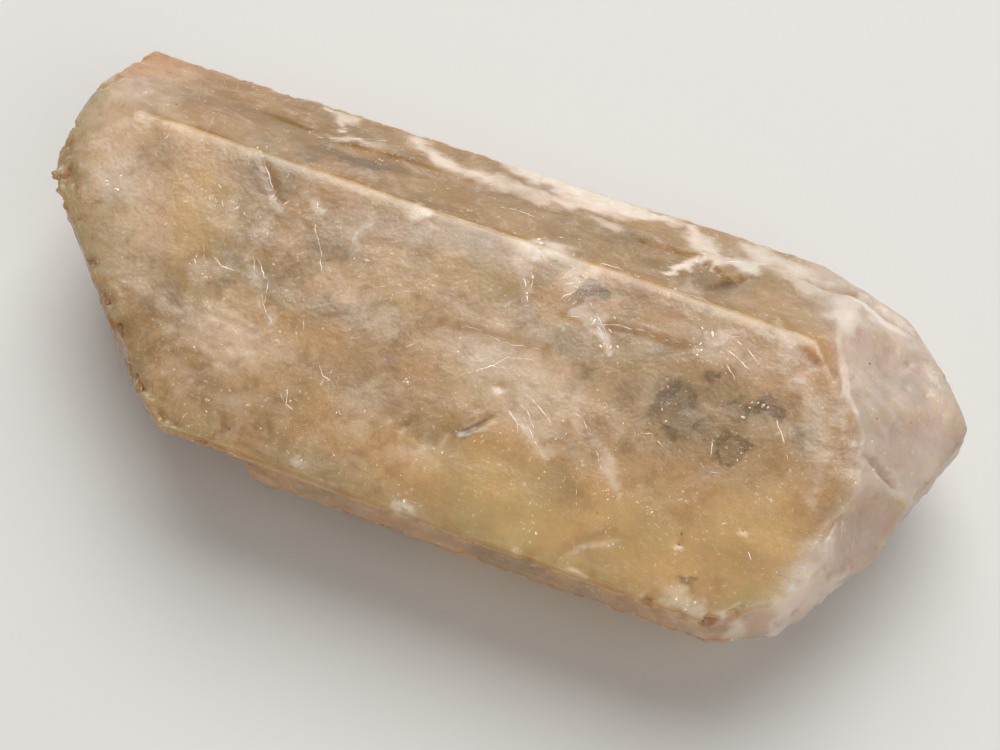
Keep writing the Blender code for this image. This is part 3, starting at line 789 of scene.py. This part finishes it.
plate_tree, given, ended = new_tree("plates_under_skin", (
    ("Skin", "Object"), ("Smallest", "Float"), ("Largest", "Float"), ("Tilt", "Float"),
    ("Deepest", "Float"), ("Seed", "Int"), ("Stone", "Material")))
tree = plate_tree
sink = add(tree, "FunctionNodeRandomValue", {"Min": 0.0},
           {"Max": given["Deepest"], "Seed": given["Seed"]}, "Value")
landed, outward = dropped(tree, given["Skin"], sink)
spots = tree.nodes.new("GeometryNodeCaptureAttribute")
spots.capture_items.new("VECTOR", "Normal")
tree.links.new(given["Geometry"], spots.inputs["Geometry"])
tree.links.new(outward, spots.inputs["Normal"])
placed = add(tree, "GeometryNodeSetPosition", {}, {"Geometry": spots.outputs["Geometry"], "Position": landed})
placed = without_strays(tree, placed)

# Each plate lies flat under the skin, then tips a little and spins freely (12 times the tilt)
flat = add(tree, "FunctionNodeAlignRotationToVector", {"axis": "Z"}, {"Vector": spots.outputs["Normal"]})
most = add(tree, "ShaderNodeVectorMath", {"operation": "SCALE", 0: (1.0, 1.0, 12.0)},
           {"Scale": given["Tilt"]})
least = add(tree, "ShaderNodeVectorMath", {"operation": "SCALE", 0: (-1.0, -1.0, -12.0)},
            {"Scale": given["Tilt"]})
tipped = add(tree, "FunctionNodeRandomValue", {"data_type": "FLOAT_VECTOR"},
             {0: least, 1: most, "Seed": given["Seed"]})
tipped = add(tree, "FunctionNodeEulerToRotation", {}, {"Euler": tipped})
turned = add(tree, "FunctionNodeRotateRotation", {"rotation_space": "LOCAL"},
             {"Rotation": flat, "Rotate By": tipped})
size = add(tree, "FunctionNodeRandomValue", {},
           {"Min": given["Smallest"], "Max": given["Largest"], "Seed": given["Seed"]}, "Value")
shape = add(tree, "FunctionNodeRandomValue",
            {"data_type": "FLOAT_VECTOR", 0: (0.7, 0.25, 0.5), 1: (1.5, 0.8, 1.0)}, {"Seed": given["Seed"]})
scale = add(tree, "ShaderNodeVectorMath", {"operation": "SCALE"}, {0: shape, "Scale": size})
plate = add(tree, "GeometryNodeMeshCone",
            {"Vertices": 5, "Radius Top": 0.7, "Radius Bottom": 1.0, "Depth": 0.3})
plate = add(tree, "GeometryNodeSetShadeSmooth", {"Shade Smooth": False}, {"Geometry": plate})
plates = add(tree, "GeometryNodeInstanceOnPoints", {},
             {"Points": placed, "Instance": plate, "Rotation": turned, "Scale": scale})
finish_tree(tree, plates, given, ended)

glints = grown("cleavage_glints", plate_tree, {
    "Skin": crystal, "Smallest": GLINT_SIZES[0] * MM, "Largest": GLINT_SIZES[1] * MM, "Tilt": 0.5,
    "Deepest": 0.04 * MM, "Seed": 5, "Stone": glint}, strewn(GLINT_SWARMS, 0.55))
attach(glints, "root")

# The few larger plates, each nest where a crack meets the skin
FLAKE_NESTS = (                  # middle, spread, how many
    ((-4.2, 3.1), 0.12, 7), ((-8.3, 2.1), 0.10, 5), ((-11.6, 0.9), 0.22, 9), ((-10.0, 0.3), 0.15, 7),
    ((-12.2, -1.8), 0.12, 7), ((-11.5, -2.2), 0.15, 7), ((-9.5, -7.1), 0.15, 7), ((-7.9, -6.7), 0.2, 7),
    ((-2.1, -3.8), 0.12, 7), ((-4.9, -8.2), 0.08, 5), ((-0.5, -8.5), 0.15, 7), ((7.1, -5.4), 0.12, 7),
    ((5.8, -4.6), 0.08, 5), ((8.9, -5.5), 0.15, 7), ((7.4, -6.7), 0.2, 7), ((11.6, -2.3), 0.12, 7),
    ((5.0, 0.4), 0.20, 11), ((8.3, 1.3), 0.18, 9), ((6.5, 3.3), 0.3, 9), ((-13.5, 3.5), 0.2, 5),
    ((-11.5, 3.6), 0.2, 7), ((13.4, -8.5), 0.2, 9), ((11.3, -8.5), 0.25, 7), ((3.1, 2.3), 0.35, 15),
    ((1.2, 3.3), 0.4, 13), ((4.2, 1.2), 0.4, 13), ((8.6, 1.9), 0.35, 11), ((11.3, -0.2), 0.25, 7),
    ((8.3, -1.6), 0.3, 9), ((-6.4, 8.3), 0.3, 9), ((7.2, 6.6), 0.3, 9), ((-16.8, 0.3), 0.3, 7),
)
flakes = grown("cleavage_flakes", plate_tree, {
    "Skin": crystal, "Smallest": FLAKE_SIZES[0] * MM, "Largest": FLAKE_SIZES[1] * MM, "Tilt": 0.7,
    "Deepest": 0.07 * MM, "Seed": 8, "Stone": glint}, strewn(FLAKE_NESTS, 1.0))
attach(flakes, "root")

# ---------------------------------------------------------------------------
# Bubble veils.  Larger cracks that healed deep inside the crystal: torn, gently
# bowed sheets of trapped bubbles.  They catch the light that sinks in, so the
# clear stone looks deep and milky from every side.
# ---------------------------------------------------------------------------
VEILS = (                        # middle, turn in degrees, length and width in mm
    ((1.6, -1.8, 6.9), (20.0, -6.0, -22.0), (8.0, 4.2)),
    ((3.2, 2.4, 7.6), (-30.0, 12.0, 30.0), (4.6, 3.0)),
    ((-9.6, -3.8, 6.9), (14.0, 10.0, -14.0), (6.4, 4.0)),
    ((-5.0, 0.6, 7.4), (-22.0, -6.0, 12.0), (6.0, 3.2)),
    ((9.6, -1.2, 6.2), (14.0, -14.0, 40.0), (6.5, 5.0)),
    ((-2.0, 6.0, 6.0), (58.0, 0.0, 4.0), (9.0, 3.4)),
    ((8.6, 5.4, 6.2), (50.0, 10.0, -20.0), (5.0, 3.2)),
    ((-14.6, 0.4, 7.0), (10.0, -24.0, 50.0), (5.0, 4.4)),
    ((6.0, -4.0, 6.0), (50.0, 0.0, -42.0), (5.5, 3.0)),
    ((13.0, -3.4, 5.4), (-20.0, 24.0, 20.0), (4.6, 3.6)),
    ((-12.6, 5.6, 6.2), (46.0, 0.0, 8.0), (5.0, 2.6)),
    ((-3.4, -5.8, 5.0), (-26.0, 4.0, -8.0), (7.0, 3.0)),
)
VEIL_THICKNESS = 0.02            # mm
VEIL_BOW = 2.2                   # height of a veil's slow swell, mm
VEIL_TORN = 0.34                 # how much of a veil is holes
VEIL_CLEARANCE = 0.25            # nearest that a veil comes to the skin, mm

veil_tree, given, ended = new_tree("torn_veil", (
    ("Skin", "Object"), ("Middle", "Vector"), ("Turn", "Vector"), ("Length", "Float"), ("Width", "Float"),
    ("Bow", "Float"), ("Torn", "Float"), ("Thickness", "Float"), ("Seed", "Float"), ("Stone", "Material")))
tree = veil_tree
position = add(tree, "GeometryNodeInputPosition")
sheet = add(tree, "GeometryNodeMeshGrid", {"Vertices X": 64, "Vertices Y": 40},
            {"Size X": given["Length"], "Size Y": given["Width"]})

# Torn: holes where the noise is low, and more of them away from the middle
tatters = add(tree, "ShaderNodeTexNoise",
              {"noise_dimensions": "4D", "Scale": 1.0 / (1.3 * MM), "Detail": 6.0, "Roughness": 0.7},
              {"Vector": position, "W": given["Seed"]})
from_middle = add(tree, "ShaderNodeVectorMath", {"operation": "LENGTH"}, {0: position}, "Value")
reach = add(tree, "ShaderNodeMath", {"operation": "DIVIDE"}, {0: from_middle, 1: given["Length"]})
whole = add(tree, "ShaderNodeMath", {"operation": "MULTIPLY_ADD", 1: -0.35}, {0: reach, 2: tatters})
hole = add(tree, "FunctionNodeCompare", {"operation": "LESS_THAN"}, {"A": whole, "B": given["Torn"]})
sheet = add(tree, "GeometryNodeDeleteGeometry", {"domain": "FACE"}, {"Geometry": sheet, "Selection": hole})

# Bowed, then turned into its place
swell = add(tree, "ShaderNodeTexNoise", {"noise_dimensions": "4D", "Scale": 1.0 / (3.5 * MM), "Detail": 3.0},
            {"Vector": position, "W": given["Seed"]})
swell = add(tree, "ShaderNodeMath", {"operation": "SUBTRACT", 1: 0.5}, {0: swell})
swell = add(tree, "ShaderNodeMath", {"operation": "MULTIPLY"}, {0: swell, 1: given["Bow"]})
bowed = add(tree, "ShaderNodeCombineXYZ", {}, {"Z": swell})
sheet = add(tree, "GeometryNodeSetPosition", {}, {"Geometry": sheet, "Offset": bowed})
turn = add(tree, "FunctionNodeEulerToRotation", {}, {"Euler": given["Turn"]})
sheet = add(tree, "GeometryNodeTransform", {},
            {"Geometry": sheet, "Translation": given["Middle"], "Rotation": turn})

# Cut off where it would come near the skin or leave the crystal
body = add(tree, "GeometryNodeObjectInfo", {}, {"Object": given["Skin"]}, "Geometry")
overhead = add(tree, "GeometryNodeRaycast", {"Ray Direction": (0.0, 0.0, 1.0), "Ray Length": RAY_LENGTH},
               {"Target Geometry": body, "Source Position": position}, "Hit Normal")
above = add(tree, "ShaderNodeSeparateXYZ", {}, {0: overhead}, "Z")
outside = add(tree, "FunctionNodeCompare", {"operation": "LESS_THAN", "B": 0.05}, {"A": above})
nearest = add(tree, "GeometryNodeProximity", {"target_element": "FACES"}, {0: body}, "Distance")
skimming = add(tree, "FunctionNodeCompare", {"operation": "LESS_THAN", "B": VEIL_CLEARANCE * MM},
               {"A": nearest})
cut_off = add(tree, "FunctionNodeBooleanMath", {"operation": "OR"}, {0: outside, 1: skimming})
sheet = add(tree, "GeometryNodeDeleteGeometry", {}, {"Geometry": sheet, "Selection": cut_off})

# Given its thickness, and closed underneath
shell = add(tree, "GeometryNodeExtrudeMesh", {"Individual": False},
            {"Mesh": sheet, "Offset Scale": given["Thickness"]})
underside = add(tree, "GeometryNodeFlipFaces", {}, {"Mesh": sheet})
both = add(tree, "GeometryNodeJoinGeometry")
for half in (shell, underside):
    tree.links.new(half, both.node.inputs[0])
closed = add(tree, "GeometryNodeMergeByDistance", {"Distance": 0.001 * MM}, {"Geometry": both})
finish_tree(tree, closed, given, ended)

# Milk-white with a honey cast and matt, as light is scattered by the bubbles
veil_stone = two_toned(
    "milky_bubble_veil", "E9CFA4", "FFF6E8", (0.7, 5.0, 0.65), (0.35, 0.62), ior=1.4, roughness=0.6)

for index, (middle, turns, (length, width)) in enumerate(VEILS):
    veil = grown("bubble_veil_%02d" % index, veil_tree, {
        "Skin": crystal, "Middle": [c * MM for c in middle], "Turn": [math.radians(a) for a in turns],
        "Length": length * MM, "Width": width * MM, "Bow": VEIL_BOW * MM, "Torn": VEIL_TORN,
        "Thickness": VEIL_THICKNESS * MM, "Seed": 2.0 + index, "Stone": veil_stone})
    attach(veil, "root")

# ---------------------------------------------------------------------------
# Limonite specks.  Grains of brown iron ore that settled on the growing faces
# and were sealed in.  Earthy and dull, from rust brown to nearly black.
# ---------------------------------------------------------------------------
SPECK_PLACES = (
    (10.3, -6.3), (10.35, -6.35), (10.3, -5.9), (12.5, -5.0), (-2.9, -0.6), (-2.7, -0.5), (10.8, -5.0),
    (-14.6, -4.0), (-8.2, -7.9), (-13.0, -5.6), (4.6, -7.9), (14.4, -6.2), (16.1, 1.2), (17.5, 2.0),
    (-18.9, 0.0), (-18.8, 0.3), (8.2, 8.9), (7.6, 9.0), (-16.2, 4.9), (15.2, 3.7), (-0.9, -7.3),
    (2.2, -8.4), (-10.4, -6.0), (-11.9, -3.4), (6.4, -5.9), (6.9, -6.2), (11.0, -7.6),
)
limonite = two_toned(
    "limonite_brown", "3A2A18", "A8662A", (2.0, 2.0, 0.55), (0.42, 0.62), ior=1.6, roughness=0.55)
specks = grown("limonite_specks", plate_tree, {
    "Skin": crystal, "Smallest": 0.03 * MM, "Largest": 0.10 * MM, "Tilt": 0.4, "Deepest": 0.02 * MM,
    "Seed": 4, "Stone": limonite}, [(x, y, SKY_HEIGHT) for x, y in SPECK_PLACES])
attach(specks, "root")

# ---------------------------------------------------------------------------
# Floor and backdrop.  A round sheet of matt pale paper that sweeps up at its
# rim, so every side of the crystal is seen against the same pale ground.
# ---------------------------------------------------------------------------
FLOOR_FLAT = 0.7                 # radius of the flat part, m
SWEEP = 0.5                      # radius of the bend that rises round it, m
SWEEP_STEPS = 16
SWEEP_STEP_ANGLE = 6.0           # degrees


def turned_sheet(name, profile, steps=96):
    """A surface turned about Z from (radius, height) points."""
    bm = bmesh.new()
    line = [bm.verts.new((radius, 0.0, height)) for radius, height in profile]
    edges = [bm.edges.new(pair) for pair in zip(line, line[1:])]
    bmesh.ops.spin(bm, geom=line + edges, axis=(0, 0, 1), cent=(0, 0, 0), steps=steps, angle=math.tau)
    bmesh.ops.remove_doubles(bm, verts=bm.verts, dist=1e-5)
    bmesh.ops.recalc_face_normals(bm, faces=bm.faces)
    sheet = bpy.data.meshes.new(name)
    bm.to_mesh(sheet)
    bm.free()
    obj = bpy.data.objects.new(name, sheet)
    bpy.context.scene.collection.objects.link(obj)
    sheet.shade_smooth()
    return obj


bends = [math.radians(SWEEP_STEP_ANGLE * i) for i in range(SWEEP_STEPS)]
rising = [(FLOOR_FLAT + SWEEP * math.sin(a), SWEEP * (1.0 - math.cos(a))) for a in bends]
floor = turned_sheet("floor", [(0.0, 0.0), (0.05, 0.0), (0.2, 0.0), *rising])
paper, tree, output = new_material("matt_pale_paper")
paper_shader = add(tree, "ShaderNodeBsdfPrincipled", {"Base Color": srgb("D9D6D1"), "Roughness": 0.9})
tree.links.new(paper_shader, output.inputs["Surface"])
floor.data.materials.append(paper)

# ---------------------------------------------------------------------------
# Light and camera.  One wide soft lamp high behind the crystal, a weaker one and a
# pale sky for fill, and a camera that looks steeply down on the broad face.
# ---------------------------------------------------------------------------
TARGET = Vector((0.67, 0.58, 5.0)) * MM
LAMPS = (                        # name, side (m), power (W), compass and rise (degrees), distance (m)
    ("key", 0.34, 1.75, 100.0, 57.0, 0.42),
    ("fill", 0.40, 0.75, -30.0, 52.0, 0.55),
)
SKY_STRENGTH = 0.3
CAMERA_LENS = 66.6
CAMERA_DISTANCE = 78.8 * MM
CAMERA_COMPASS = -69.6           # degrees
CAMERA_RISE = 66.0               # degrees
ASIDE = (-0.34 * MM, -1.24 * MM)  # along the camera's own right and up


def aim(obj, compass, rise, distance, at):
    """Put something at a distance from a point and turn it to face it."""
    a, e = math.radians(compass), math.radians(rise)
    back = Vector((math.cos(a) * math.cos(e), math.sin(a) * math.cos(e), math.sin(e)))
    obj.location = at + back * distance
    obj.rotation_euler = (-back).to_track_quat("-Z", "Y").to_euler()


for name, side, power, compass, rise, distance in LAMPS:
    lamp_data = bpy.data.lights.new(name, "AREA")
    lamp_data.size = side
    lamp_data.energy = power
    lamp = bpy.data.objects.new(name, lamp_data)
    bpy.context.scene.collection.objects.link(lamp)
    aim(lamp, compass, rise, distance, TARGET)

world = bpy.data.worlds.new("sky")
bpy.context.scene.world = world
world.use_nodes = True
sky = world.node_tree.nodes["Background"]
sky.inputs["Color"].default_value = srgb("EDEFF2")
sky.inputs["Strength"].default_value = SKY_STRENGTH

# The camera stands 79 mm off, and a little aside so that the crystal sits as it lay
camera_data = bpy.data.cameras.new("camera")
camera_data.lens = CAMERA_LENS
camera_data.clip_start = 0.005
camera_data.clip_end = 10.0
camera = bpy.data.objects.new("camera", camera_data)
bpy.context.scene.collection.objects.link(camera)
aim(camera, CAMERA_COMPASS, CAMERA_RISE, CAMERA_DISTANCE, TARGET)
bpy.context.scene.camera = camera
bpy.context.view_layer.update()
right = camera.matrix_world.col[0].to_3d()
up = camera.matrix_world.col[1].to_3d()
camera.location += right * ASIDE[0] + up * ASIDE[1]
bpy.context.scene.view_settings.view_transform = "Standard"
